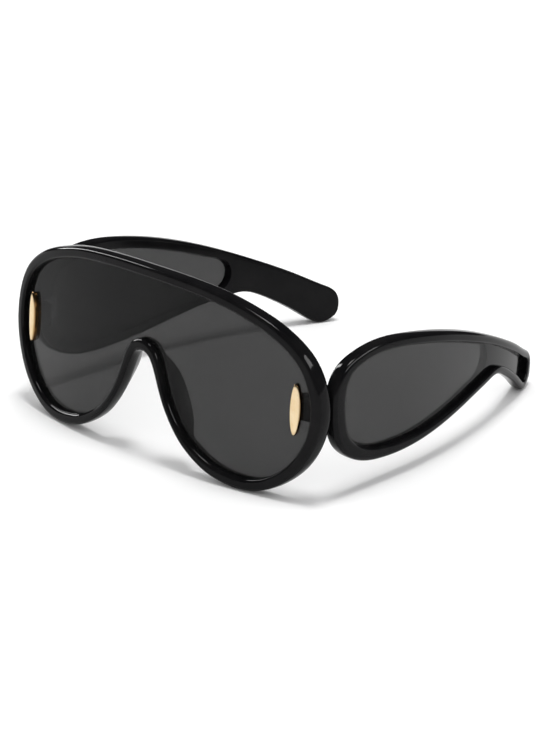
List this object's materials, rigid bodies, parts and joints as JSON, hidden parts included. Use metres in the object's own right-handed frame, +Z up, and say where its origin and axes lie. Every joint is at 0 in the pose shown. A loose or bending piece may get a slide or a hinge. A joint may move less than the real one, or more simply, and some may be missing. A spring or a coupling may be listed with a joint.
{
  "type": "shield sunglasses",
  "caption": "Oversized shield sunglasses with a one-piece smoke lens, thick glossy rim, oval metal accents and wide folding temples that hold side lenses.",
  "frame": {"origin": "on the table under the middle of the open pair's box, which stands on the two lens lobes and the two temple tips", "axes": "+X to the wearer's left, -Y the way the wearer looks, +Z up from the table; the pair leans back on its temple tips by about 4 degrees"},
  "size_m": [0.151, 0.1492, 0.0691],
  "materials": {
    "frame_black": "polished black acetate",
    "smoke_lens": "clear smoke-grey tinted polycarbonate",
    "nose_pad": "polished black acetate",
    "accent_gold": "pale gold plate, polished",
    "hinge_steel": "satin",
    "screw_steel": "polished"
  },
  "bodies": {
    "front": {"front_frame": "frame_black", "shield_lens": "smoke_lens", "left_nose_pad": "nose_pad", "left_accent_plate": "accent_gold", "left_hinge_front_leaf": "hinge_steel", "left_hinge_screw": "screw_steel", "left_front_leaf_screws": "screw_steel", "right_nose_pad": "nose_pad", "right_accent_plate": "accent_gold", "right_hinge_front_leaf": "hinge_steel", "right_hinge_screw": "screw_steel", "right_front_leaf_screws": "screw_steel"},
    "left_temple": {"left_temple_frame": "frame_black", "left_side_lens": "smoke_lens", "left_hinge_temple_leaf": "hinge_steel", "left_temple_leaf_screws": "screw_steel"},
    "right_temple": {"right_temple_frame": "frame_black", "right_side_lens": "smoke_lens", "right_hinge_temple_leaf": "hinge_steel", "right_temple_leaf_screws": "screw_steel"}
  },
  "joints": [
    {"name": "left_temple_hinge", "type": "hinge", "parent": "front", "child": "left_temple", "pos_m": [0.0684, -0.05551, 0.03195], "axis": [0, 0.072, 0.9974], "range_deg": [0, 81]},
    {"name": "right_temple_hinge", "type": "hinge", "parent": "front", "child": "right_temple", "pos_m": [-0.0684, -0.05551, 0.03195], "axis": [0, -0.072, -0.9974], "range_deg": [0, 66]}
  ]
}
